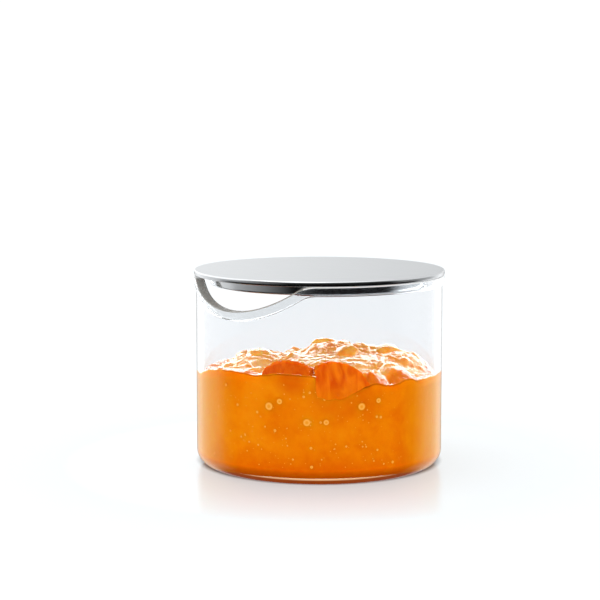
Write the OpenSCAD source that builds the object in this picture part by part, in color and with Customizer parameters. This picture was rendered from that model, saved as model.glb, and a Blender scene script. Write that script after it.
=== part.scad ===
// Jam pot: a glass pot with a spoon notch in its rim, a loose hollow steel lid and a filling of fruit jam.
// Millimetres, +Z up, origin at the centre of the base on the table, spoon notch towards -Y.

/* [Glass pot] */
// Outer diameter of the glass wall
pot_d = 84.6; // [72:0.1:110]
// Height of the rim above the table
pot_h = 65.5; // [60:0.1:95]
// Thickness of the glass wall
wall_t = 2.4; // [1.8:0.1:4]
// Thickness of the glass floor
floor_t = 3; // [2:0.1:6]
// Outer corner radius between the wall and the base
base_r = 5.3; // [4.5:0.1:9]

/* [Rim] */
// Height of the thickened band that follows the rim and the notch
band_h = 3.2; // [2:0.1:6]
// How far the band stands out from the wall
band_out = 0.6; // [0.2:0.1:1.5]
// How far the band stands in from the wall
band_in = 0.2; // [0.1:0.1:1.5]
// Rounding of the band along the top of the rim
band_r = 1.1; // [0.3:0.1:1.2]

/* [Spoon notch] */
// Width of the notch where its flares leave the rim
notch_w = 56; // [40:0.5:62]
// Depth of the notch below the rim
notch_d = 9.2; // [6:0.1:14]
// Radius of the flares between the rim and the notch
flare_r = 10; // [7:0.1:14]

/* [Lid] */
// How far the lid's edge stands out past the band
lid_over = 0.1; // [0:0.1:3]
// Sheet thickness of the cover
cover_t = 0.6; // [0.5:0.05:1]
// Rounding of the cover's edge
cover_r = 0.3; // [0.1:0.05:0.45]
// Sheet thickness of the insert
insert_t = 0.5; // [0.3:0.05:0.8]
// Radial play between the insert's skirt and the band
lid_play = 2.2; // [0.4:0.1:4]
// Depth of the skirt below the rim
skirt_h = 3.3; // [2:0.1:6]
// Outer corner radius at the foot of the skirt
skirt_r = 1.2; // [1:0.1:1.6]

/* [Jam] */
// Depth of the jam along the glass
jam_h = 29.5; // [18:0.5:36]
// Turn of the filling about the pot's axis, away from the notch
jam_turn = 43; // [0:1:359]
// Number of small bits of pulp that stand out of the mound
bit_n = 44; // [0:1:60]
// Least and greatest radius of a bit
bit_r = [3, 5.5]; // [2:0.1:8]
// Least and greatest height of a bit above the mound
bit_rise = [0.5, 1.3]; // [0.2:0.1:2]
// Length, width and height of the halved fruit that lies against the glass
half_size = [24, 18, 15]; // [6:0.5:30]
// Length, width and height of the chunk beside it
chunk_size = [11, 11, 9]; // [6:0.5:30]
// Height of the halved fruit's middle above the jam's edge
half_rise = 0.5; // [-5:0.5:5]
// Height of the chunk's middle above the jam's edge
chunk_rise = 3; // [-5:0.5:5]
// How far the glass flattens the fruit that lies against it
fruit_press = 1.2; // [0.5:0.1:3]
// Gap along the glass between the halved fruit and the chunk
fruit_space = 1.2; // [0.5:0.1:6]
// Length, width and height of each slice on the mound
slice_size = [11, 7, 3]; // [2:0.5:30]
// Distance of each slice from the pot's axis
slice_out = [19.2, 10.4, 9.4, 22]; // [0:0.1:26]
// Angle of each slice round the axis, from the middle of the filling's front
slice_angle = [-99, 163, 58, 93]; // [-180:1:180]
// Height of each slice's middle above the jam's edge
slice_rise = [5.6, 8.6, 7, 6.8]; // [0:0.1:12]

/* [Hidden] */
$fn = 96;

// Clearances: sheet in the crimped hem, hem to skirt, jam to glass, fruit to jam
crimp_gap = 0.03;
hem_gap = 1;
jam_gap = 0.1;
fruit_gap = 0.1;
// Overrun of cutting shapes
over = 1;
// Turns from one bit of pulp to the next: of its place, and of the waves that vary its radius and its height
golden = 137.5;
radius_turn = 77;
rise_turn = 131;

// Glass
pot_r = pot_d / 2;
bore_r = pot_r - wall_t;
floor_r = max(base_r - wall_t, 0.5);
band_or = pot_r + band_out;
band_ir = bore_r - band_in;
band_round = min(band_r, 0.4 * (band_or - band_ir));

// Notch: a bowl arc between two flare arcs, tangent to them and to the rim
notch_x = notch_w / 2;
reach = (notch_x * notch_x + notch_d * notch_d) / (2 * notch_d);
bowl_r = reach - flare_r;
lean = asin(notch_x / reach);
steps = 16;

// Lid: the cover's hem folds round the flange of the insert
lid_r = band_or + lid_over;
skirt_or = band_ir - lid_play;
hem_ir = skirt_or + hem_gap;
flange_z = pot_h + cover_t + crimp_gap;
plate_z = flange_z + insert_t + crimp_gap;
lid_top = plate_z + cover_t;
flange_r = lid_r - cover_t - crimp_gap;
skirt_z = pot_h - skirt_h;

// Filling
jam_or = bore_r - jam_gap;
jam_level = floor_t + jam_h;
// Each lump of the mound: x, y, height above the jam's edge, radius of its round top
LUMPS = [
    [8, 3, 6.8, 70], [-19, 4, 5.6, 20], [5, 5, 8.8, 20], [17, 4, 7.6, 16], [26, 2, 6, 18],
    [-25, -27, 3.9, 60], [-9, -36, 4.4, 45], [15, -29, 4.4, 9], [24, -23, 4.2, 9],
];
// The chunk lies beside the halved fruit, both against the glass
half_out = jam_or + fruit_press - half_size.y / 2;
chunk_out = jam_or + fruit_press - chunk_size.y / 2;
half_angle = 12;
half_tip = 8;
chunk_tip = -12;
apart = half_size.x / 2 + fruit_space + chunk_size.x / 2;
chunk_angle = half_angle - apart / min(half_out, chunk_out) * 180 / PI;
// Side curve of a piece, against its length
side_reach = 1.2;
// How each slice is tipped and turned
slice_turns = [[12, 14, 20], [-20, 8, 10], [24, -12, -30], [10, -16, 15]];
// Each piece of fruit: size, distance from the axis, angle, height above the jam's edge, turns
FRUIT = concat(
    [[half_size, half_out, half_angle, half_rise, [0, half_tip, half_angle]]],
    [[chunk_size, chunk_out, chunk_angle, chunk_rise, [0, chunk_tip, chunk_angle]]],
    [for (i = [0 : 3]) [slice_size, slice_out[i], slice_angle[i], slice_rise[i], slice_turns[i]]]
);

// Middle of piece of fruit i
function fruit_place(i) =
    [FRUIT[i][1] * sin(FRUIT[i][2]), -FRUIT[i][1] * cos(FRUIT[i][2]), jam_level + FRUIT[i][3]];

// Height of the mound at a point, above the jam's edge
function mound(p) = max(concat([0], [for (l = LUMPS)
    let (d = norm(p - [l.x, l.y])) d < l[3] ? l.z - l[3] + sqrt(l[3] * l[3] - d * d) : 0]));

// The bits lie on a sunflower spiral, which spreads them evenly over the mound
function bit_place(i) = (jam_or - bit_r[1]) * sqrt((i + 0.5) / bit_n) * [sin(i * golden), -cos(i * golden)];

// Share from 0 to 1 that differs from bit to bit
function vary(i, turn) = 0.5 + 0.5 * sin(i * turn);

// A bit is left out where fruit takes its place
function is_clear(p) = min([for (i = [0 : len(FRUIT) - 1])
    norm(p - [fruit_place(i).x, fruit_place(i).y]) - FRUIT[i][0].x / 2]) > bit_r[0];

// Points of an arc, without its last one
function arc(c, r, a0, a1) =
    [for (i = [0 : steps - 1]) c + r * [cos(a0 + (a1 - a0) * i / steps), sin(a0 + (a1 - a0) * i / steps)]];

// Edge of the notch from left to right, moved down into the glass by drop
function lip(drop) = concat(
    arc([-notch_x, pot_h - flare_r], flare_r - drop, 90, 90 - lean),
    arc([0, pot_h - notch_d + bowl_r], bowl_r + drop, 270 - lean, 270 + lean),
    arc([notch_x, pot_h - flare_r], flare_r - drop, 90 + lean, 90),
    [[notch_x, pot_h - drop]]
);

// Half section of a round vessel with a rounded foot
module vessel(r, z0, z1, corner) {
    translate([0, z0]) square([r - corner, z1 - z0]);
    translate([0, z0 + corner]) square([r, z1 - z0 - corner]);
    translate([r - corner, z0 + corner]) circle(corner);
}

// Everything above the notch's edge on the front half of the pot, with the edge lowered by drop
module above_lip(drop) {
    rotate([90, 0, 0]) linear_extrude(lid_r + over)
        polygon(concat(lip(drop), [[notch_x, pot_h + over], [-notch_x, pot_h + over]]));
}

// Ring that the band is taken from, rounded along the top of the rim
module band_ring() {
    foot_z = pot_h - notch_d - band_h - over;
    height = pot_h - foot_z;
    width = band_or - band_ir;
    rotate_extrude() translate([band_ir, foot_z]) {
        square([width, height - band_round]);
        translate([band_round, 0]) square([width - 2 * band_round, height]);
        for (x = [band_round, width - band_round])
            translate([x, height - band_round]) circle(band_round);
    }
}

module glass_pot() {
    color("lightcyan", 0.5) difference() {
        union() {
            rotate_extrude() difference() {
                vessel(pot_r, 0, pot_h - band_h / 2, base_r);
                vessel(bore_r, floor_t, pot_h + over, floor_r);
            }
            intersection() {
                band_ring();
                union() {
                    translate([0, 0, pot_h - band_h]) cylinder(r = lid_r + over, h = band_h + over);
                    above_lip(band_h);
                }
            }
        }
        above_lip(0);
    }
}

module lid_cover() {
    color("gainsboro") rotate_extrude() difference() {
        union() {
            translate([0, pot_h]) square([lid_r - cover_r, lid_top - pot_h]);
            translate([0, pot_h + cover_r]) square([lid_r, lid_top - pot_h - 2 * cover_r]);
            for (z = [pot_h + cover_r, lid_top - cover_r])
                translate([lid_r - cover_r, z]) circle(cover_r);
        }
        translate([0, pot_h + cover_t]) square([lid_r - cover_t, plate_z - pot_h - cover_t]);
        translate([0, pot_h - over]) square([hem_ir, plate_z - pot_h + over]);
    }
}

module lid_insert() {
    color("silver") rotate_extrude() {
        difference() {
            vessel(skirt_or, skirt_z, flange_z + insert_t, skirt_r);
            vessel(skirt_or - insert_t, skirt_z + insert_t, lid_top, skirt_r - insert_t);
        }
        translate([skirt_or - insert_t, flange_z]) square([flange_r - skirt_or + insert_t, insert_t]);
    }
}

// The room inside the glass that the filling may take
module jam_room() {
    rotate_extrude() vessel(jam_or, floor_t, skirt_z, floor_r);
}

// Lens with a sharp rim, of diameter d and thickness t
module lens(d, t) {
    r = (d * d + t * t) / (4 * t);
    intersection() {
        translate([0, 0, r - t / 2]) sphere(r);
        translate([0, 0, t / 2 - r]) sphere(r);
    }
}

// Piece of fruit i, grown on every side, flattened where it lies against the glass
module fruit(i, grow) {
    size = FRUIT[i][0] + 2 * grow * [1, 1, 1];
    intersection() {
        rotate([0, 0, jam_turn]) translate(fruit_place(i))
            rotate(FRUIT[i][4]) intersection() {
                lens(size.x, size.z);
                rotate([90, 0, 0]) lens(side_reach * size.x, size.y);
            }
        rotate_extrude() vessel(jam_or + grow, floor_t, skirt_z, floor_r);
    }
}

// Bit i of the pulp, a round knob on the mound
module pulp_bit(i) {
    p = bit_place(i);
    r = bit_r[0] + (bit_r[1] - bit_r[0]) * vary(i, radius_turn);
    rise = bit_rise[0] + (bit_rise[1] - bit_rise[0]) * vary(i, rise_turn);
    translate([p.x, p.y, mound(p) + rise - r]) sphere(r);
}

module jam() {
    color("darkorange") difference() {
        intersection() {
            jam_room();
            union() {
                cylinder(r = pot_r, h = jam_level);
                rotate([0, 0, jam_turn]) translate([0, 0, jam_level]) {
                    for (lump = LUMPS)
                        translate([lump.x, lump.y, lump.z - lump[3]]) sphere(lump[3]);
                    for (i = [0 : bit_n - 1])
                        if (is_clear(bit_place(i))) pulp_bit(i);
                }
            }
        }
        for (i = [0 : len(FRUIT) - 1]) fruit(i, fruit_gap);
    }
}

module fruit_half() color("orangered") fruit(0, 0);
module fruit_chunk() color("orangered") fruit(1, 0);
module fruit_slice_1() color("orange") fruit(2, 0);
module fruit_slice_2() color("orange") fruit(3, 0);
module fruit_slice_3() color("orange") fruit(4, 0);
module fruit_slice_4() color("orange") fruit(5, 0);

glass_pot();
lid_cover();
lid_insert();
jam();
fruit_half();
fruit_chunk();
fruit_slice_1();
fruit_slice_2();
fruit_slice_3();
fruit_slice_4();
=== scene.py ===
import bpy
import math
import numpy as np
from mathutils import Euler, Matrix, Vector


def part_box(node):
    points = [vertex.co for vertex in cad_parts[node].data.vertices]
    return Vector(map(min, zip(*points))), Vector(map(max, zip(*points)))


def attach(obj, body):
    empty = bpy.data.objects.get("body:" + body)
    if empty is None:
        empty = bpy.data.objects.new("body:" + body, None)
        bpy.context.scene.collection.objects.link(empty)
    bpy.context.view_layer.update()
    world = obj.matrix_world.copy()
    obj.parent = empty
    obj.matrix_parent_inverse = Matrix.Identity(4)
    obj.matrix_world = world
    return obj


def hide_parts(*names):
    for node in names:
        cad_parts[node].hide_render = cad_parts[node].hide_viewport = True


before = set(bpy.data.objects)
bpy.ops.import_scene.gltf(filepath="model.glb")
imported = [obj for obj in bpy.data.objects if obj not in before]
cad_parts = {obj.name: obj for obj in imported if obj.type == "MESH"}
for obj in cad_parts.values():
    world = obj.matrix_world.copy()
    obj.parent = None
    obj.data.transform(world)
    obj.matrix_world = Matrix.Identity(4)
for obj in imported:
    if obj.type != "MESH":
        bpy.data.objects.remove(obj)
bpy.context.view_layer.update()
mm = 0.001
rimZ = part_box("glass_pot")[1].z / mm  # top of the glass, the lid lies on it
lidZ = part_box("lid_cover")[1].z / mm
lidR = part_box("lid_cover")[1].x / mm - 0.0015  # the facets of the CAD's round edge fall a little short
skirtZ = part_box("lid_insert")[0].z / mm
fillTurn = math.radians(43)  # the filling's front, and the camera, stand this far round from the notch
print("frame loaded, rim at", round(rimZ, 2), "mm, lid top at", round(lidZ, 2), "mm")


# helpers: colours and nodes

def hexLinear(code):
    srgb = np.array([int(code[i:i + 2], 16) for i in (0, 2, 4)]) / 255
    linear = np.where(srgb <= 0.04045, srgb / 12.92, ((srgb + 0.055) / 1.055) ** 2.4)
    return (*linear.tolist(), 1.0)


def grey(level):
    return (level, level, level, 1)


def inMm(*sizes):
    return [size * mm for size in sizes]


def fill(tree, node, inputs):
    # an input is a socket to link, a hex colour or a plain value
    for name, item in inputs.items():
        if isinstance(item, bpy.types.NodeSocket):
            tree.links.new(item, node.inputs[name])
        else:
            node.inputs[name].default_value = hexLinear(item) if isinstance(item, str) else item


def addNode(tree, kind, inputs, **settings):
    node = tree.nodes.new(kind)
    for name, value in settings.items():
        setattr(node, name, value)
    fill(tree, node, inputs)
    return node


def objectCoords(tree):
    return addNode(tree, "ShaderNodeTexCoord", {}).outputs["Object"]


def heightOf(tree, way):
    return addNode(tree, "ShaderNodeSeparateXYZ", {0: way}).outputs["Z"]


def pointValue(tree, name):  # a number that the mesh keeps for each point
    return addNode(tree, "ShaderNodeAttribute", {}, attribute_name=name).outputs["Fac"]


def calc(tree, operation, *terms):
    return addNode(tree, "ShaderNodeMath", dict(enumerate(terms)), operation=operation).outputs[0]


def vectorMath(tree, operation, *terms, output=0):
    return addNode(tree, "ShaderNodeVectorMath", dict(enumerate(terms)), operation=operation).outputs[output]


def remap(tree, value, span, to=(0, 1), soft=False):
    # carries a value from the ends of span to the ends of to, and holds it there
    ends = {"From Min": span[0], "From Max": span[1], "To Min": to[0], "To Max": to[1]}
    return addNode(tree, "ShaderNodeMapRange", {"Value": value, **ends},
                   interpolation_type="SMOOTHSTEP" if soft else "LINEAR").outputs[0]


def blend(tree, share, first, second, mode="MIX"):
    return addNode(tree, "ShaderNodeMix", {0: share, 6: first, 7: second},
                   data_type="RGBA", blend_type=mode).outputs[2]


def noise(tree, way, size, detail, **more):  # size is the width of its features in mm
    inputs = {"Vector": way, "Scale": 1 / (size * mm), "Detail": detail, **more}
    return addNode(tree, "ShaderNodeTexNoise", inputs).outputs[0]


def bump(tree, height, strength, depth):
    return addNode(tree, "ShaderNodeBump", {"Height": height, "Strength": strength, "Distance": depth * mm}).outputs[0]


def ramp(tree, share, stops):
    # colour ramp through stops of (position, colour), in rising order
    node = addNode(tree, "ShaderNodeValToRGB", {"Fac": share})
    elements = node.color_ramp.elements
    elements[0].position, elements[0].color = stops[0]
    elements[1].position, elements[1].color = stops[-1]
    for position, colour in stops[1:-1]:
        elements.new(position).color = colour
    return node.outputs[0]


def newMaterial(name):
    material = bpy.data.materials.new(name)
    material.use_nodes = True
    tree = material.node_tree
    return material, tree, tree.nodes["Principled BSDF"]


# helpers: noise, surfaces and pieces

def smooth(t):  # soft step from 0 to 1
    t = np.clip(t, 0, 1)
    return t * t * (3 - 2 * t)


def waves(points, size, seed, count=18):
    # smooth noise: the sum of sine waves in random directions, about size mm from crest to crest
    draw = np.random.default_rng(seed)
    ways = draw.normal(size=(count, 3))
    ways /= np.linalg.norm(ways, axis=1)[:, None]
    ways *= draw.uniform(0.7, 1.6, (count, 1)) * 2 * np.pi / size
    return np.sin(points @ ways.T + draw.uniform(0, 2 * np.pi, count)).sum(-1) / math.sqrt(count)


def arc(centre, radius, start, end, count):  # points of an arc in a section, angles in degrees
    a = np.radians(np.linspace(start, end, count))
    return np.stack([centre[0] + radius * np.cos(a), centre[1] + radius * np.sin(a)], -1)


def newObject(name, data):
    thing = bpy.data.objects.new(name, data)
    bpy.context.scene.collection.objects.link(thing)
    return thing


def skin(name, rings, startPole, endPole):
    # quads join each ring of points to the next, fans of triangles close the two ends on a pole
    count, around = rings.shape[:2]
    i, j = np.meshgrid(np.arange(count - 1), np.arange(around), indexing="ij")
    k = (j + 1) % around
    quads = np.stack([i * around + j, i * around + k, (i + 1) * around + k, (i + 1) * around + j], -1)
    quads = quads.reshape(-1, 4)
    points = np.vstack([rings.reshape(-1, 3), np.reshape(startPole, (1, 3)), np.reshape(endPole, (1, 3))])
    j = np.arange(around)
    k = (j + 1) % around
    last = (count - 1) * around
    fans = np.vstack([np.stack([k, j, np.full(around, count * around)], -1),
                      np.stack([np.full(around, count * around + 1), last + j, last + k], -1)])
    tris = np.vstack([quads[:, :3], quads[:, [0, 2, 3]], fans])
    a, b, c = (points[tris[:, n]] for n in range(3))
    if (np.cross(a, b) * c).sum() < 0:  # the volume is negative when the faces point inwards
        quads, fans = quads[:, ::-1], fans[:, ::-1]
    mesh = bpy.data.meshes.new(name)
    mesh.from_pydata((points * mm).tolist(), [], quads.tolist() + fans.tolist())
    mesh.shade_smooth()
    return newObject(name, mesh)


def lathe(name, section, around):
    # the section's points (radius, height) carried round the axis, closed on the axis at both ends
    a = np.linspace(0, 2 * np.pi, around, endpoint=False)
    r, z = section[1:-1, :1], section[1:-1, 1:]
    rings = np.stack([r * np.sin(a), -r * np.cos(a), z + 0 * a], -1)
    return skin(name, rings, (0, 0, section[0, 1]), (0, 0, section[-1, 1]))


def keepValue(mesh, name, values):  # a number for each point, for the materials
    mesh.attributes.new(name, "FLOAT", "POINT").data.foreach_set("value", values.astype(np.float32))


def place(piece, body, slot, materials, *nodes):
    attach(piece, body)
    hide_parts(*nodes)
    for material in materials:
        piece.data.materials.append(material)


# glass pot: a round section whose top follows the rim and dips into the spoon notch

glass = dict(outer=42.3, wall=2.4, floor=3.0, corner=5.3, notchWidth=56, notchDepth=9.2, flare=10,
             bandHeight=3.2, bandOut=0.6, bandIn=0.2, bandRound=0.35, bandFoot=3.6, bandBelow=0.15, bandTurn=6,
             around=640, hub=6, seam=0.3, floorRings=8, wallRings=16, wallStart=0.06, outerSteps=16, innerSteps=14,
             ground=0.8,  # the lip is ground where it lies deeper than this
             ior=1.474, shine=0.4, ripple=0.2,
             # tint, roughness, share of the light let through, width of the grain in mm and its strength
             finishes=dict(borosilicateGlassBlown=("F0F2F4", 0.0, 1.0, 30, 0.05),
                           # the ground cut face's dark grey is painted shade, for the shade under the lid and the dark
                           # room it mirrors
                           borosilicateGlassGround=("92918C", 0.4, 0.2, 0.6, 0.8),
                           borosilicateGlassBeaded=("DEE1E3", 0.1, 1.0, 0.8, 0.22),
                           borosilicateGlassRimEdge=("F2F4F5", 0.3, 0.3, 0.4, 0.2)))
boreR = glass["outer"] - glass["wall"]
innerCorner = glass["corner"] - glass["wall"]
bandMid = boreR + (glass["wall"] + glass["bandOut"] - glass["bandIn"]) / 2


def lipDepth(x):
    # depth of the notch below the rim: a bowl arc between two flare arcs, all tangent
    half, deep, flare = glass["notchWidth"] / 2, glass["notchDepth"], glass["flare"]
    reach = (half ** 2 + deep ** 2) / (2 * deep)
    bowl = reach - flare
    a = np.abs(x)
    bowlPart = deep - bowl + np.sqrt(np.maximum(bowl ** 2 - a ** 2, 0))
    flarePart = flare - np.sqrt(np.maximum(flare ** 2 - (half - a) ** 2, 0))
    return np.where(a < bowl * half / reach, bowlPart, np.where(a < half, flarePart, 0))


def bandSection():
    # rounded rectangle round the lip, (radius, depth below the lip), from the outer wall over the top
    # to the inner wall
    outer, tall, c = glass["outer"], glass["bandHeight"], glass["bandRound"]
    low, below, turn = tall - c, tall + glass["bandBelow"], glass["bandTurn"]
    outR, inR = outer + glass["bandOut"] - c, boreR - glass["bandIn"] + c
    outFoot, inFoot = (math.degrees(math.acos(1 - glass[key] / c)) for key in ("bandOut", "bandIn"))
    return np.vstack([[(outer, below), (outer, tall)],
                      arc((outR, low), c, outFoot - turn, 0, 9), arc((outR, c), c, 0, -90, 10),
                      arc((inR, c), c, -90, -180, 10), arc((inR, low), c, 180, 180 - inFoot + turn, 7),
                      [(boreR, tall - glass["seam"]), (boreR, below)]])


def glassRings():
    # each ring is (radius, angle, height); the band's rings are moved square to the lip, so that it keeps its width
    outer, corner, floor, seam = glass["outer"], glass["corner"], glass["floor"], glass["seam"]
    theta = np.linspace(-np.pi, np.pi, glass["around"], endpoint=False)
    lip = rimZ - np.where(np.abs(theta) < np.pi / 2, lipDepth(bandMid * np.sin(theta)), 0)
    slope = np.gradient(lip, bandMid * (theta[1] - theta[0]))
    lean = np.sqrt(1 + slope ** 2)
    rings = []

    def addRing(r, z, angle=theta):
        rings.append(np.stack([r + 0 * theta, angle, z + 0 * theta], -1))

    def wallRing(r, z, t):  # a share t of the way from the foot of the wall to the foot of the band
        foot = glass["bandFoot"]
        addRing(r, z + t * (lip - foot / lean - z), theta + smooth(t) * foot * slope / lean / bandMid)

    steps = np.linspace(glass["wallStart"], 1, glass["wallRings"])
    for r in np.linspace(glass["hub"], outer - corner - seam, glass["floorRings"]):
        addRing(r, 0)
    for r, z in arc((outer - corner, corner), corner, -90, 0, glass["outerSteps"]):
        addRing(r, z)
    for t in steps:
        wallRing(outer, corner, t)
    for r, h in bandSection():
        addRing(r, lip - h / lean, theta + h * slope / lean / bandMid)
    for t in steps[::-1]:
        wallRing(boreR, floor + innerCorner, t)
    for r, z in arc((boreR - innerCorner, floor + innerCorner), innerCorner, 0, -90, glass["innerSteps"]):
        addRing(r, z)
    for r in np.linspace(boreR - innerCorner - seam, glass["hub"], glass["floorRings"]):
        addRing(r, floor)
    r, a, z = np.moveaxis(np.array(rings), -1, 0)
    top = z.max(1)  # the highest point of each ring tells the lip's cut face from the sides of the bead
    slack = 0.01
    isCut, isBead = (top > rimZ - glass[key] - slack for key in ("bandRound", "bandHeight"))
    kind = np.where(isCut, 1, np.where(isBead, 2, 0))  # numbers as in finishes
    kind = np.maximum(kind[:-1], kind[1:])[:, None]
    finish = np.where(rimZ - lip > glass["ground"], kind, 3 * (kind == 1))  # outside the notch only the edge differs
    return np.stack([r * np.sin(a), -r * np.cos(a), z], -1), finish.astype(np.int32)


def potGlass(name, tint, roughness, clear, grain, strength):
    # borosilicate glass, blown and fire-polished: clear, hard reflections, a faint cool tint. The bead of the
    # notch is a little uneven, which mottles what is seen through it, and its cut face is ground dull and painted
    # dark grey, a painted shade for the shade under the lid and the dark room it mirrors
    material, tree, shader = newMaterial(name)
    uneven = bump(tree, noise(tree, objectCoords(tree), grain, 1.0), strength, glass["ripple"])
    fill(tree, shader, {"Base Color": tint, "Roughness": roughness, "IOR": glass["ior"], "Normal": uneven,
                        "Specular Tint": grey(glass["shine"]), "Transmission Weight": clear})
    return material


rings, finish = glassRings()
pot = skin("glassPot", rings, (0, 0, 0), (0, 0, glass["floor"]))
place(pot, "pot", "clear_glass", [potGlass(name, *look) for name, look in glass["finishes"].items()], "glass_pot")
poleFaces = np.zeros(2 * glass["around"], np.int32)
pot.data.polygons.foreach_set("material_index", np.append(finish.ravel(), poleFaces))
pot.visible_shadow = False  # light reaches the jam through the glass
pot.visible_diffuse = False
print("glass pot made")


# lid: a cover whose edge is folded under in a hem, and the pan that hangs in the mouth

lid = dict(sheet=0.6, edge=0.5, crown=0.04, hemInner=38.5, insertSheet=0.5, skirtR=37.5, skirtCorner=0.55,
           flangeR=42.37, neck=0.35, crimp=0.03, around=320, flatTop=0.9,
           step=0.1, edgeStep=0.06,  # short flats beside the corners keep their shading narrow
           scratch="C4C8CB", scratchWidth=0.25, scratchLength=50, scratchDepth=0.02, scratchStrength=0.12,
           cloud=35, cloudRough=(-0.04, 0.06),
           # colour, roughness, tint of the shine at a flat angle
           finishes=dict(stainlessSteelBrushed=("D9DCDE", 0.3, 0.66),
                         stainlessSteelRolledEdge=("D2D4D6", 0.12, 1.0),
                         stainlessSteelPressed=("D2D4D6", 0.12, 1.0)))


def coverSection():
    # top plate from the axis, rounded edge, hem back under the flange, then the plate's inside
    z0, z1, e, t, hemR = rimZ, lidZ, lid["edge"], lid["sheet"], lid["hemInner"]
    step, edgeStep = lid["step"], lid["edgeStep"]
    plate = [(r, z1 - lid["crown"] * (r / lidR) ** 2) for r in np.linspace(0, lidR - e - edgeStep, 16)]
    edge = np.vstack([arc((lidR - e, z1 - e - lid["crown"]), e, 90, 0, 9), arc((lidR - e, z0 + e), e, 0, -90, 9)])
    hem = [(lidR - e - edgeStep, z0), (hemR + 0.2, z0)]
    fold = arc((hemR + t / 2, z0 + t / 2), t / 2, 270, 90, 9)
    inside = [(hemR + 0.6, z0 + t), (lidR - t - step, z0 + t), (lidR - t, z0 + t + step),
              (lidR - t, z1 - t - step), (lidR - t - step, z1 - t), (20, z1 - t), (0, z1 - t)]
    return np.vstack([plate, edge, hem, fold, inside])


def insertSection():
    # underside of the pan's floor from the axis, rounded foot, skirt, flange, and back along the inside
    t, r, c, n, step = (lid[key] for key in ("insertSheet", "skirtR", "skirtCorner", "neck", "step"))
    flangeZ = rimZ + lid["sheet"] + lid["crimp"]
    under = [(x, skirtZ) for x in (0, 10, 20, 30, r - c - step)]
    foot = arc((r - c, skirtZ + c), c, -90, 0, 10)
    skirt = [(r, skirtZ + c + step), (r, flangeZ - n - step)]
    neck = arc((r + n, flangeZ - n), n, 180, 90, 7)
    flange = [(lid["flangeR"], flangeZ), (lid["flangeR"], flangeZ + t), (r + 0.3, flangeZ + t), (r, flangeZ + t)]
    inside = [(r - t, skirtZ + c + step)]
    bowl = arc((r - c, skirtZ + c), c - t, 0, -90, 8)
    floor = [(x, skirtZ + t) for x in (r - c - step, 20, 0)]
    return np.vstack([under, foot, skirt, neck, flange, inside, bowl, floor])


def brushedSteel(name):
    # stainless sheet, brushed in straight lines: long fine scratches that spread the gloss. The rolled edge and
    # the pressed pan are brighter
    colour, roughness, grazing = lid["finishes"][name]
    material, tree, shader = newMaterial(name)
    way = objectCoords(tree)
    along = addNode(tree, "ShaderNodeMapping", {"Vector": way, "Rotation": (0, 0, -fillTurn),
                                                "Scale": (1 / lid["scratchLength"], 1, 1)}).outputs[0]
    lines = noise(tree, along, lid["scratchWidth"], 3.0)
    cloud = noise(tree, way, lid["cloud"], 2.0)
    fill(tree, shader, {"Base Color": blend(tree, lines, colour, lid["scratch"]), "Metallic": 1.0,
                        "Roughness": remap(tree, cloud, (0, 1), [roughness + more for more in lid["cloudRough"]]),
                        "Normal": bump(tree, lines, lid["scratchStrength"], lid["scratchDepth"]),
                        "Specular Tint": grey(grazing)})
    return material


brushed, rolled, pressed = (brushedSteel(name) for name in lid["finishes"])
cover = lathe("lidCover", coverSection(), lid["around"])
place(cover, "lid", "lid_steel", [brushed, rolled], "lid_cover")
normals = np.zeros(len(cover.data.polygons) * 3)
cover.data.polygons.foreach_get("normal", normals)
cover.data.polygons.foreach_set("material_index", (normals[2::3] < lid["flatTop"]).astype(np.int32))
insert = lathe("lidInsert", insertSection(), lid["around"])
place(insert, "lid", "insert_steel", [pressed], "lid_insert")
cover.visible_shadow = insert.visible_shadow = False  # the dome lights the jam under the lid
print("lid made")


# jam: fills the glass up to a wavy line, with a lumpy mound on top

jam = dict(overlap=0.05, around=460, floorRadii=(8, 16, 24, 32), cornerSteps=12, sideRings=10, topRings=178, seed=11,
           level=32.5, soft=0.3, waver=0.12, waverSize=6, edge=0.9, rimWidth=6, rimFade=4,
           lumps=((8, 3, 6.8, 70), (-19, 4, 5.6, 20), (5, 5, 8.8, 20), (17, 4, 7.6, 16), (26, 2, 6, 18),
                  (-25, -27, 3.9, 60), (-9, -36, 4.4, 45), (15, -29, 4.4, 9), (24, -23, 4.2, 9)),
           bits=44, bitRadius=(3, 5.5), bitRise=(0.5, 1.3), bitSpread=39.8, bitTurn=137.5, bitSteps=(77, 131),
           fruitAt=((32, 12, 24), (35.5, -21.5, 11), (19.2, -99, 11), (10.4, 163, 11), (9.4, 58, 11), (22, 93, 11)),
           flakes=((150, (2.5, 6), (1.2, 2.8), (0.2, 0.7)), (750, (0.7, 2.0), (0.35, 0.8), (0.1, 0.35))),
           flakeTilt=0.12, flakeSink=-0.3, flakeRound=0.4, ripple=0.1, rippleSize=3.2, ringSpread=0.9,
           # the foot colours are painted shade, the cream colour after them a painted highlight and the line colour a
           # painted dark line
           body="E27E04", thin="DC980F", foot="8A3400", footLight="984004", paintedSheen="F4BE8C", line="A04C04",
           stain="CC4E04", lineDepth=(0.7, 0.25), footHeight=(5, 3), settleHeight=(18, 4), thinHeight=(3, 6),
           slant=(0.12, 0.28), flat=(0.87, 0.94), drift=16, swirl=0.8, pulpShare=0.35, pulpRough=0.65, settle=-0.42,
           settleCurve=1.7, stops=(0.1, 0.4, 0.68, 1.0), reliefDepth=0.5, floorPulp=2.5, floorRough=0.3,
           scatter=(1.0, 0.55, 0.08))
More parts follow.
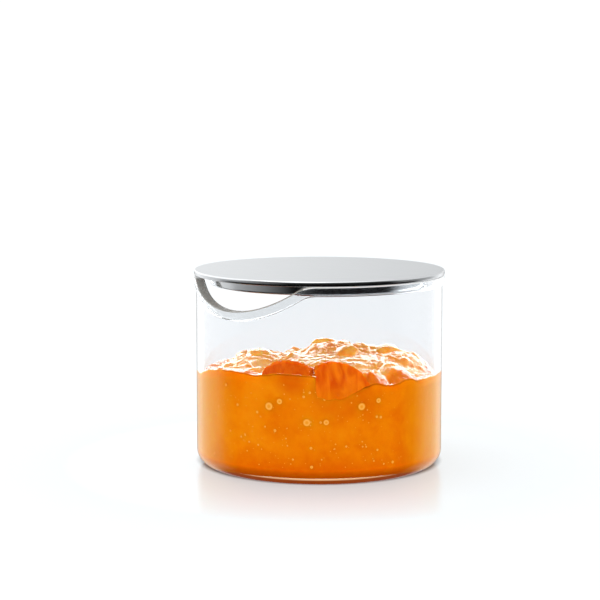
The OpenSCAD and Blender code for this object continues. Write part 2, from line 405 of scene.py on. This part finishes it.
# colours from thick to thin, width of the pulp in mm and its relief, change along the rim, how much of the painted
# foot shade, of the painted dark line and of the painted yellow of the thin sides there is, and fruit seen through it,
# (x, y, z, far, near, share)
jamLooks = dict(
    jamAgainstGlass=dict(colours=("C65800", "D86802", jam["body"], "E89210"), pulp=2.5, relief=0.0, rim=0.0, foot=0.9,
                         line=0.8, side=(0.4, 1.0), roughness=0.03, depth=4,
                         ior=1.03,  # against glass it mirrors only at grazing angles
                         stains=((-9, -39, 35, 7.5, 1.5, 0.6), (6.5, -39.3, 31, 11, 7, 0.3))),
    jamWetTop=dict(colours=("DC7410", "F6962E", "FDB25A", "FFD298"), pulp=1.8, relief=0.6, rim=-0.5, foot=0.0,
                   line=0.0, side=(0.0, 0.0), roughness=0.07, depth=1.5, ior=1.42, stains=()))
jamR = boreR + jam["overlap"]


def swing(i, step):  # a value from 0 to 1 that goes up and down with the count
    return 0.5 + 0.5 * np.sin(np.radians(step * i))


def roundTops(u, v, tops):
    # height above the jam's edge of each ball (x, y, top, radius), nothing outside it
    x, y, top, radius = np.array(tops).T
    far = (u[..., None] - x) ** 2 + (v[..., None] - y) ** 2
    return np.where(far < radius ** 2, top - radius + np.sqrt(np.maximum(radius ** 2 - far, 0)), 0)


def pulpBits():
    # bits of pulp on a sunflower spiral, (x, y, top above the jam's edge, radius), none where fruit lies
    i = np.arange(jam["bits"])
    small, large = jam["bitRadius"]
    least, most = jam["bitRise"]
    out = (jam["bitSpread"] - large) * np.sqrt((i + 0.5) / jam["bits"])
    turn = np.radians(jam["bitTurn"] * i)
    x, y = out * np.sin(turn), -out * np.cos(turn)
    radius, rise = (low + (high - low) * swing(i, step)
                    for low, high, step in zip((small, least), (large, most), jam["bitSteps"]))
    away, angle, length = np.array(jam["fruitAt"]).T
    fruitX, fruitY = away * np.sin(np.radians(angle)), -away * np.cos(np.radians(angle))
    clear = np.hypot(x[:, None] - fruitX, y[:, None] - fruitY)
    keep = (clear - length / 2).min(1) > small
    return np.stack([x, y, rise + roundTops(x, y, jam["lumps"]).max(-1), radius], -1)[keep]


pulpTops = pulpBits()


def moundCore(u, v):
    # the highest of all lumps and bits, blended softly where they meet
    heights = np.maximum(np.concatenate([roundTops(u, v, jam["lumps"]), roundTops(u, v, pulpTops)], -1), 0)
    return jam["level"] + jam["soft"] * np.log1p(np.expm1(heights / jam["soft"]).sum(-1))


def jamWaver(angle):
    u, v = jamR * np.sin(angle), -jamR * np.cos(angle)
    return jam["waver"] * waves(np.stack([u, v, 0 * u], -1), jam["waverSize"], jam["seed"] + 2)


def jamLine(angle):  # height of the jam along the glass
    return moundCore(jamR * np.sin(angle), -jamR * np.cos(angle)) + jamWaver(angle)


def moundHeight(u, v):
    # the mound covered with wet flakes: each flake is a flat-topped dome lying at its own angle and tilt,
    # and the highest one shows
    draw = np.random.default_rng(jam["seed"])
    flat = np.stack([u, v, 0 * u], -1)
    lumps = jam["flakeSink"] + jam["ripple"] * waves(flat, jam["rippleSize"], jam["seed"] + 1)
    for count, longs, wides, talls in jam["flakes"]:
        spots = draw.uniform(-jamR, jamR, (count, 2))
        way = draw.uniform(0, np.pi, count)
        long, wide, tall = (draw.uniform(*span, count) for span in (longs, wides, talls))
        lean = draw.normal(0, jam["flakeTilt"], (2, count))
        x, y = u[..., None] - spots[:, 0], v[..., None] - spots[:, 1]
        along, across = x * np.cos(way) + y * np.sin(way), y * np.cos(way) - x * np.sin(way)
        dome = np.maximum(1 - (along / long) ** 2 - (across / wide) ** 2, 0) ** jam["flakeRound"]
        lumps = lumps + (dome * np.maximum(tall + lean[0] * x + lean[1] * y, 0)).max(-1)
    inner = smooth((jamR - np.hypot(u, v)) / jam["edge"])
    return moundCore(u, v) + lumps * inner + jamWaver(np.arctan2(u, -v)) * (1 - inner)


def toFrame(u, v, z):  # from the filling's own axes, right, away and up, to the part's
    return np.stack([u * math.cos(fillTurn) - v * math.sin(fillTurn),
                     u * math.sin(fillTurn) + v * math.cos(fillTurn), z], -1)


def jamRings():
    a = np.linspace(-np.pi, np.pi, jam["around"], endpoint=False)
    right, away = np.sin(a), -np.cos(a)
    floorZ = glass["floor"] - jam["overlap"]
    foot, line = floorZ + innerCorner, jamLine(a)
    flatR = jamR - innerCorner
    section = [(r, floorZ + 0 * a) for r in (*jam["floorRadii"], flatR - glass["seam"])]
    section += [(r, z + 0 * a) for r, z in arc((flatR, foot), innerCorner, -90, 0, jam["cornerSteps"])]
    section += [(jamR, foot + t * (line - foot)) for t in np.linspace(0, 1, jam["sideRings"])[1:]]
    wallCount = len(section)
    for r in jamR * (1 - np.linspace(0, 1, jam["topRings"])[1:-1] ** jam["ringSpread"]):
        section.append((r, moundHeight(r * right, r * away)))
    return np.array([toFrame(r * right, r * away, z) for r, z in section]), wallCount


def jamMaterial(name):
    # boiled fruit jam: clear orange jelly full of pulp, so light goes deep and comes back orange
    look = jamLooks[name]
    material, tree, shader = newMaterial(name)
    way = objectCoords(tree)
    height = heightOf(tree, way)
    pulp = noise(tree, way, look["pulp"], 5.0, Roughness=jam["pulpRough"])
    clouds = noise(tree, way, jam["drift"], 3.0, Distortion=jam["swirl"])
    share = calc(tree, "MULTIPLY_ADD", pulp, jam["pulpShare"], clouds)
    settled = calc(tree, "POWER", remap(tree, height, inMm(*jam["settleHeight"])), jam["settleCurve"])
    share = calc(tree, "MULTIPLY_ADD", settled, jam["settle"], share)  # denser and deeper in colour towards the bottom
    share = calc(tree, "MULTIPLY_ADD", pointValue(tree, "rim"), look["rim"], share)  # less pulp along the glass
    colour = ramp(tree, share, list(zip(jam["stops"], map(hexLinear, look["colours"]))))
    paintedFootShade = remap(tree, height, inMm(*jam["footHeight"]), (0, look["foot"]))
    colour = blend(tree, paintedFootShade, colour, jam["foot"])  # painted shade: dark by the glass floor, where little light gets in under the pot
    for x, y, z, far, near, most in look["stains"]:  # fruit that shows through the jam round it
        away = vectorMath(tree, "DISTANCE", way, toFrame(x, y, z) * mm, output="Value")
        colour = blend(tree, remap(tree, away, inMm(far, near), (0, most), soft=True), colour, jam["stain"])
    line = remap(tree, pointValue(tree, "depth"), jam["lineDepth"], (0, look["line"]))
    colour = blend(tree, line, colour, jam["line"])  # painted shade: a dark line just under where the surface meets the glass
    outward = vectorMath(tree, "NORMALIZE", vectorMath(tree, "MULTIPLY", way, (1, 1, 0)))
    slant = addNode(tree, "ShaderNodeLayerWeight", {"Blend": 0.5, "Normal": outward}).outputs["Facing"]
    side = calc(tree, "MULTIPLY", remap(tree, slant, jam["slant"]),
                remap(tree, height, inMm(*jam["thinHeight"]), look["side"]))
    colour = blend(tree, side, colour, jam["thin"])  # painted light: yellower at the sides, where the eye looks through less of it
    fill(tree, shader, {"Base Color": colour, "Normal": bump(tree, pulp, look["relief"], jam["reliefDepth"]),
                        "Roughness": look["roughness"], "IOR": look["ior"], "Subsurface Weight": 1.0,
                        "Subsurface Radius": jam["scatter"], "Subsurface Scale": look["depth"] * mm})
    return material


def jamFloorMaterial(name):
    # jam on the glass floor: painted dark shade, with a painted cream highlight at a very flat angle, which draws a
    # line round the base
    material, tree, shader = newMaterial(name)
    # painted shade: the jam on the glass floor is coloured dark, as little light reaches it under the pot
    paintedFootShade = blend(tree, noise(tree, objectCoords(tree), jam["floorPulp"], 3.0), jam["foot"], jam["footLight"])
    slant = addNode(tree, "ShaderNodeLayerWeight", {"Blend": 0.5}).outputs["Facing"]
    fill(tree, shader, {"Base Color": blend(tree, remap(tree, slant, jam["flat"]), paintedFootShade, jam["paintedSheen"]),
                        "Roughness": jam["floorRough"], "Specular IOR Level": 0.0})
    return material


rings, wallCount = jamRings()
filling = skin("jamFilling", rings, (0, 0, glass["floor"] - jam["overlap"]),
               toFrame(0.0, 0.0, moundHeight(np.zeros(1), np.zeros(1))[0]))
jamMaterials = [jamMaterial(name) for name in jamLooks] + [jamFloorMaterial("jamOnGlassFloor")]
place(filling, "pot", "jam", jamMaterials, "jam")
faceCount = len(filling.data.polygons)
finish = np.zeros(faceCount, np.int32)  # 0 against the glass, 1 the wet top, 2 on the glass floor
quadCount = (len(rings) - 1) * jam["around"]
floorCount = (len(jam["floorRadii"]) + 1) * jam["around"]
finish[:floorCount] = finish[quadCount:quadCount + jam["around"]] = 2
finish[(wallCount - 1) * jam["around"]:quadCount] = finish[quadCount + jam["around"]:] = 1
filling.data.polygons.foreach_set("material_index", finish)
points = np.zeros(len(filling.data.vertices) * 3)
filling.data.vertices.foreach_get("co", points)
away = np.hypot(points[::3], points[1::3]) / mm
keepValue(filling.data, "rim", smooth((away - jamR + jam["rimWidth"]) / jam["rimFade"]))
keepValue(filling.data, "depth", np.append((rings[wallCount - 1, :, 2] - rings[..., 2]).ravel(), (0, 0)))
filling.visible_glossy = False  # keeps the jam's orange off the lid's skirt
filling.visible_diffuse = False  # and off the floor
print("jam made,", faceCount, "faces")


# fruit: plump rounded pieces, bent and uneven, flattened where they lie against the glass

sliceShape = dict(slot="fruit_slice", look="fruitSliceWet", size=(11, 7, 3), press=-2, square=0.9, blunt=0.6)
fruit = dict(around=72, along=60, seed=20, ends=0.8, soften=0.12, lumps=0.03, pits=0.025, pitSize=2.5,
             sunken=(34, 26.5), fibre=3, fibreHeight=0.35, fibreStops=(0.35, 0.65), relief=0.4, reliefDepth=0.3,
             drops=1.6, dropEdge=(0.58, 0.66), ior=1.45, scatter=(1.0, 0.3, 0.05), depth=1,
             # colours of the flesh, how much the jam covers it lower down, shine where dry and wet, roughness
             looks=dict(fruitFleshCooked=("E87A10", "D25206", 0.9, (0.0, 0.4), 0.15),
                        fruitFleshCookedDark=("E06C0E", "CC4804", 0.0, (0.0, 0.4), 0.15),
                        fruitSliceWet=("FFC25C", "F6A63C", 0.0, (0.5, 0.5), 0.08)),
             pieces=dict(
                 fruitHalf=dict(node="fruit_half", slot="fruit_flesh", look="fruitFleshCooked", size=(18, 18, 14),
                                out=34.5, angle=12, rise=33.4, turn=(-16, 0, 8), top=(0.75, 1.0, 0.85, 0.5, -0.2),
                                bottom=(-0.92, -0.92, -0.84, -0.56, -0.22), press=0.06, square=0.45, blunt=0.22),
                 fruitChunk=dict(node="fruit_chunk", slot="fruit_flesh", look="fruitFleshCookedDark", size=(16, 11, 9),
                                 out=35.6, angle=-16.2, rise=36, turn=(-16, -6, -20), top=(0.5, 0.9, 1.0, 0.9, 0.6),
                                 bottom=(-0.6, -1, -1, -0.9, -0.5), press=-0.5, square=0.6, blunt=0.5),
                 fruitSlice1=dict(node="fruit_slice_1", out=19.2, angle=-99, rise=37.2, turn=(12, 14, 20),
                                  top=(0, 0.7, 1, 0.6, -0.3), bottom=(-0.8, -0.7, -0.5, -0.6, -0.9), **sliceShape),
                 fruitSlice2=dict(node="fruit_slice_2", out=10.4, angle=163, rise=40.0, turn=(-20, 8, 10),
                                  top=(0.2, 0.9, 1, 0.5, -0.2), bottom=(-0.6, -0.7, -0.6, -0.6, -0.7), **sliceShape),
                 fruitSlice3=dict(node="fruit_slice_3", out=9.4, angle=58, rise=38.9, turn=(24, -12, -30),
                                  top=(0, 0.6, 1, 0.8, 0), bottom=(-0.8, -0.6, -0.5, -0.7, -1), **sliceShape),
                 fruitSlice4=dict(node="fruit_slice_4", out=22.0, angle=93, rise=38.7, turn=(10, -16, 15),
                                  top=(0.1, 0.8, 1, 0.7, 0), bottom=(-0.7, -0.7, -0.5, -0.5, -0.8), **sliceShape)))


def squared(c, power):  # rounds a circle's sine or cosine towards a square
    return np.sign(c) * np.abs(c) ** power


def softLine(x, heights):  # a line through five heights from end to end, softened at its corners
    d = fruit["soften"]
    return sum(np.interp(x + shift, (-1, -0.5, 0, 0.5, 1), heights) for shift in (-d, 0, d)) / 3


def fruitRings(row, seed):
    # rings along the piece's length, each a squared circle between a top and a bottom line, made uneven;
    # what would reach past the glass is laid flat against it
    t = np.linspace(0, np.pi, fruit["along"])[1:-1, None]
    a = np.linspace(0, 2 * np.pi, fruit["around"], endpoint=False)[None]
    x = -squared(np.cos(t), fruit["ends"]) + 0 * a
    high, low = softLine(x, row["top"]), softLine(x, row["bottom"])
    full = squared(np.sin(t), row["blunt"])
    y = full * squared(np.cos(a), row["square"])
    z = (high + low) / 2 + (high - low) / 2 * full * squared(np.sin(a), row["square"])
    p = np.stack([x, y, z], -1) * np.array(row["size"]) / 2
    lumps = fruit["lumps"] * waves(p, 0.45 * min(row["size"]) + 3, seed)
    p = p * (1 + (lumps + fruit["pits"] * waves(p, fruit["pitSize"], seed + 50)))[..., None]
    p = p @ np.array(Euler(np.radians(row["turn"])).to_matrix()).T
    angle = math.radians(row["angle"])
    p = p + (row["out"] * math.sin(angle), -row["out"] * math.cos(angle), row["rise"])
    limit = jamR + row["press"]
    p[..., :2] *= np.minimum(1, limit / np.hypot(p[..., 0], p[..., 1]))[..., None]
    return toFrame(p[..., 0], p[..., 1], p[..., 2])


def fruitMaterial(name):
    # cooked fruit: soft translucent flesh with long fibres, wet on the outside; lower down the jam covers it
    light, deep, sunk, shine, roughness = fruit["looks"][name]
    material, tree, shader = newMaterial(name)
    way = objectCoords(tree)
    upright = addNode(tree, "ShaderNodeMapping", {"Vector": way, "Scale": (1, 1, fruit["fibreHeight"])}).outputs[0]
    fibre = noise(tree, upright, fruit["fibre"], 4.0, Distortion=1.0)
    colour = ramp(tree, fibre, list(zip(fruit["fibreStops"], map(hexLinear, (deep, light)))))
    covered = remap(tree, heightOf(tree, way), inMm(*fruit["sunken"]), (0, sunk))
    wet = remap(tree, noise(tree, way, fruit["drops"], 2.0), fruit["dropEdge"], shine)
    fill(tree, shader, {"Base Color": blend(tree, covered, colour, jam["body"]),
                        "Normal": bump(tree, fibre, fruit["relief"], fruit["reliefDepth"]), "Specular IOR Level": wet,
                        "Roughness": roughness, "IOR": fruit["ior"], "Subsurface Weight": 1.0,
                        "Subsurface Radius": fruit["scatter"], "Subsurface Scale": fruit["depth"] * mm})
    return material


fruitMaterials = {name: fruitMaterial(name) for name in fruit["looks"]}
wetPieces = [filling]
for number, (name, row) in enumerate(fruit["pieces"].items()):
    grid = fruitRings(row, fruit["seed"] + number)
    piece = skin(name, grid, grid[0].mean(0), grid[-1].mean(0))
    place(piece, "pot", row["slot"], [fruitMaterials[row["look"]]], row["node"])
    piece.visible_glossy = False
    wetPieces.append(piece)
print("fruit made")


# air bubbles: small lenses in the jam, flat against the glass

bubbles = dict(count=620, seed=5, small=0.15, large=0.6, fewLarge=3, proud=0.02, rimSink=0.004, sunk=0.5,
               around=16, rings=5, backRings=(0.8, 0.45), lowest=6, below=2.5,
               marked=((-16, 25.9, 1.55), (-12.6, 27.7, 1.1), (-3.9, 21.1, 1.45), (2.3, 21.2, 1.1),
                       (13.6, 26, 1.4), (19, 27.6, 1)),
               colours=((0.2, "E48E24"), (0.6, "F0A848"), (0.85, "E08010"), (1.0, jam["body"])))


def bubbleMesh():
    # every bubble is a closed lens of rings: a little proud of the jam's wall in front, round behind
    draw = np.random.default_rng(bubbles["seed"])
    n, small, large = bubbles["count"], bubbles["small"], bubbles["large"]
    angle = draw.uniform(-np.pi, np.pi, n)
    room = jamLine(angle) - bubbles["lowest"] - bubbles["below"]
    height = bubbles["lowest"] + room * draw.uniform(0, 1, n)
    radius = small * (large / small) ** (draw.uniform(0, 1, n) ** bubbles["fewLarge"])
    across, up, wide = np.array(bubbles["marked"]).T  # the large ones that the photo shows
    angle = np.append(angle, np.arcsin(across / jamR))
    height, radius = np.append(height, up), np.append(radius, wide)
    front, back = np.linspace(0, 1, bubbles["rings"] + 1), np.append(bubbles["backRings"], 0)
    share = np.append(front, back)
    lift = np.append(bubbles["proud"] * (1 - front ** 2), 0 * back)
    lift[len(front) - 1] = -bubbles["rimSink"]  # the rim lies just under the jam's surface
    sink = bubbles["sunk"] * np.append(0 * front, np.sqrt(1 - back ** 2))
    r = (jamR + lift - radius[:, None] * sink)[..., None]
    a = np.linspace(0, 2 * np.pi, bubbles["around"], endpoint=False)
    size = radius[:, None, None] * share[:, None]
    at = angle[:, None, None] + size * np.cos(a) / jamR
    points = toFrame(r * np.sin(at), -r * np.cos(at), height[:, None, None] + size * np.sin(a))
    points = np.concatenate([points[:, 0, :1], points[:, 1:-1].reshape(len(angle), -1, 3), points[:, -1, :1]], 1)
    m, k = bubbles["around"], np.arange(bubbles["around"])
    nextK, pole = (k + 1) % m, points.shape[1] - 1
    fans = [np.stack([0 * k, 1 + k, 1 + nextK], -1), np.stack([0 * k + pole, pole - m + nextK, pole - m + k], -1)]
    quads = [np.stack([1 + i * m + k, 1 + (i + 1) * m + k, 1 + (i + 1) * m + nextK, 1 + i * m + nextK], -1)
             for i in range(len(share) - 3)]
    first = (np.arange(len(angle)) * points.shape[1])[:, None, None]
    faces = (first + np.vstack(fans)[None]).reshape(-1, 3).tolist()
    faces += (first + np.vstack(quads)[None]).reshape(-1, 4).tolist()
    mesh = bpy.data.meshes.new("jamBubbles")
    mesh.from_pydata((points.reshape(-1, 3) * mm).tolist(), [], faces)
    mesh.shade_smooth()
    edge = np.append(front[1:], 0 * back[:-1] + 1)
    keepValue(mesh, "rim", np.tile(np.concatenate([[0], np.repeat(edge, m), [1]]), len(angle)))
    return newObject("jamBubbles", mesh)


def bubbleMaterial():
    # trapped air: painted colours stand in for its reflections, paler than the jam, with a painted light ring and a
    # darker outline where it curves away
    material, tree, shader = newMaterial("airBubbleInJam")
    stops = [(position, hexLinear(code)) for position, code in bubbles["colours"]]
    fill(tree, shader, {"Base Color": ramp(tree, pointValue(tree, "rim"), stops), "Roughness": 0.5,
                        "Specular IOR Level": 0.0})
    return material


bubblePiece = bubbleMesh()
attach(bubblePiece, "pot")
bubblePiece.data.materials.append(bubbleMaterial())
print("bubbles made")


# studio: pale glossy floor, a surround that differs for the camera, for mirrored rays, for rays through glass and for
# lighting, one lamp and the camera. Levels of the surround are (angle, brightness), 0 behind the pot, -90 to its left

studio = dict(floorSize=4000, floorDrop=0.05, floorColour="E3E8EA", floorRough=0.2, floorShine=0.2, polish=(48, 90),
              # painted contact shadow on the floor: its colour, the radii over which it fades, and how far its centre
              # lies behind the axis
              paintedContactShadow="605C5A", ring=(40, 43.5), ringBack=4,
              dome=1.35, seen=1.05, leftward=2.0, sides=(0.75, 1.25), front=0.15, frontFade=(-0.6, 0.1),
              overhead=1.7, overheadFade=(0.6, 0.9), glint=4.7, glintFade=(0.62, 0.5), ground=1.2,
              horizon=(-0.03, 0.03), lowFade=(-0.165, -0.13), groundFade=(-0.17, -0.21),
              gapFade=(-0.65, -0.5), gapLight=0.1,
              room=((-180, 0), (-153, 0), (-129, 0.2), (-108, 0.4), (-84, 0.6), (-72, 0.9), (-60, 1.0), (-35, 1.35),
                    (-22, 1.0), (-12, 0.45), (12, 0.45), (22, 1.0), (35, 1.35), (50, 1.0), (60, 0.6), (70, 0.5),
                    (84, 0.3), (99, 0.25), (113, 0), (180, 0)),
              low=((-180, 0), (-94, 0), (-84, 0.15), (-72, 0.9), (-60, 1.0), (-35, 1.35), (-22, 1.0), (-12, 0.45),
                   (12, 0.45), (22, 1.0), (35, 1.35), (50, 1.1), (62, 1.0), (74, 0.35), (83, 0), (180, 0)),
              through=((-180, 0), (-150, 0.08), (-125, 0.3), (-105, 0.6), (-80, 1.2), (80, 1.2), (105, 0), (180, 0)))
softbox = dict(size=300, power=1.0, spot=(0, 60, 500), aim=(0, 0, 40), colour="FFE0C4")
view = dict(distance=600, height=128.6, tilt=0.12, yaw=-0.011, lens=105.26, sensor=36, nearest=10)


def turned(x, y, z):
    return Matrix.Rotation(fillTurn, 3, "Z") @ Vector((x, y, z))


def makeFloor():
    # white acrylic sheet, polished near the pot; painted shadow darkens it in a soft ring round the pot's round corner
    half, low = inMm(studio["floorSize"] / 2, -studio["floorDrop"])
    mesh = bpy.data.meshes.new("floor")
    corners = [(-half, -half, low), (half, -half, low), (half, half, low), (-half, half, low)]
    mesh.from_pydata(corners, [], [(0, 1, 2, 3)])
    material, tree, shader = newMaterial("whiteAcrylicSheet")
    way = objectCoords(tree)
    polish = remap(tree, vectorMath(tree, "LENGTH", way, output="Value"), inMm(*studio["polish"]),
                   (studio["floorShine"], 0), soft=True)
    # painted contact shadow: a soft dark ring round the pot's foot, centred a little behind the axis
    fromRing = vectorMath(tree, "DISTANCE", way, turned(0, studio["ringBack"] * mm, 0), output="Value")
    paintedShadowShare = remap(tree, fromRing, inMm(*studio["ring"]), soft=True)
    fill(tree, shader, {"Base Color": blend(tree, paintedShadowShare, studio["paintedContactShadow"], studio["floorColour"]),
                        "Roughness": studio["floorRough"], "Specular IOR Level": polish})
    mesh.materials.append(material)
    floor = newObject("floor", mesh)
    floor.visible_glossy = False
    floor.visible_transmission = False
    floor.visible_diffuse = False  # light comes up through the sheet into the base


def makeSurround():
    world = bpy.data.worlds.new("studioSurround")
    bpy.context.scene.world = world
    world.use_nodes = True
    tree = world.node_tree
    tree.nodes.clear()
    dome = studio["dome"]
    way = addNode(tree, "ShaderNodeTexCoord", {}).outputs["Generated"]
    up = heightOf(tree, way)
    across, behind = (vectorMath(tree, "DOT_PRODUCT", way, turned(*axis), output="Value")
                      for axis in ((1, 0, 0), (0, 1, 0)))
    angle = calc(tree, "MULTIPLY_ADD", calc(tree, "ARCTAN2", across, behind), 0.5 / math.pi, 0.5)
    low, room, through = (ramp(tree, angle, [(turn / 360 + 0.5, grey(level)) for turn, level in studio[key]])
                          for key in ("low", "room", "through"))
    above = remap(tree, up, studio["horizon"], soft=True)
    under = remap(tree, up, studio["gapFade"], (studio["gapLight"], 1))  # straight down is the dark gap under the pot

    # mirrored: the room round the pot, bright behind it and dark on the camera's side, under a bright ceiling
    walls = blend(tree, remap(tree, up, studio["lowFade"], soft=True), low, room)
    walls = blend(tree, 1.0, walls, under, "MULTIPLY")
    least, most = (side * dome for side in studio["sides"])
    side = calc(tree, "MULTIPLY_ADD", across, -studio["leftward"] * dome, dome)
    side = addNode(tree, "ShaderNodeClamp", {"Value": side, "Min": least, "Max": most}).outputs[0]
    front = remap(tree, behind, studio["frontFade"], (studio["front"], 1), soft=True)
    high = remap(tree, up, studio["overheadFade"], (0, studio["overhead"]))
    ceiling = calc(tree, "MULTIPLY", side, calc(tree, "MAXIMUM", front, high))
    mirrored = blend(tree, above, walls, ceiling)

    # through glass: a bright window above the horizon, the ground below it
    glint = calc(tree, "MULTIPLY", remap(tree, up, studio["glintFade"], soft=True), studio["glint"])
    window = blend(tree, 1.0, through, glint, "MULTIPLY")
    steep = remap(tree, up, studio["groundFade"], (0, studio["ground"]))
    ground = calc(tree, "MULTIPLY", calc(tree, "MAXIMUM", steep, through), under)
    passed = blend(tree, above, ground, window)

    ray = addNode(tree, "ShaderNodeLightPath", {}).outputs
    light = addNode(tree, "ShaderNodeBackground", {"Color": grey(1), "Strength": dome})
    for test, colour, strength in (("Is Glossy Ray", mirrored, 1.0), ("Is Transmission Ray", passed, 1.0),
                                   ("Is Camera Ray", grey(1), studio["seen"])):
        shown = addNode(tree, "ShaderNodeBackground", {"Color": colour, "Strength": strength})
        light = addNode(tree, "ShaderNodeMixShader", {0: ray[test], 1: light.outputs[0], 2: shown.outputs[0]})
    addNode(tree, "ShaderNodeOutputWorld", {"Surface": light.outputs[0]})


def makeSoftbox(receivers):
    light = bpy.data.lights.new("topSoftbox", "AREA")
    light.shape, light.size, light.energy = "SQUARE", softbox["size"] * mm, softbox["power"]
    light.color = hexLinear(softbox["colour"])[:3]
    spot, aim = turned(*softbox["spot"]), turned(*softbox["aim"])
    lamp = newObject("topSoftbox", light)
    lamp.location = spot * mm
    lamp.rotation_euler = (aim - spot).to_track_quat("-Z", "Y").to_euler()
    lamp.visible_camera = False
    lamp.light_linking.receiver_collection = bpy.data.collections.new("topSoftbox")
    for piece in receivers:
        lamp.light_linking.receiver_collection.objects.link(piece)


def makeCamera():
    camera = bpy.data.cameras.new("camera")
    camera.lens, camera.sensor_width, camera.clip_start = view["lens"], view["sensor"], view["nearest"] * mm
    eye = newObject("camera", camera)
    eye.location = turned(0, -view["distance"], view["height"]) * mm
    tilt, yaw = view["tilt"], view["yaw"]
    ahead = turned(math.sin(yaw) * math.cos(tilt), math.cos(yaw) * math.cos(tilt), -math.sin(tilt))
    eye.rotation_euler = ahead.to_track_quat("-Z", "Y").to_euler()
    bpy.context.scene.camera = eye


makeFloor()
makeSurround()
makeSoftbox(wetPieces)
makeCamera()
scene = bpy.context.scene
scene.view_settings.view_transform = "Standard"
scene.cycles.use_denoising = True
scene.cycles.max_bounces = 16
scene.cycles.transmission_bounces = 14
scene.cycles.glossy_bounces = 8
print("studio made")
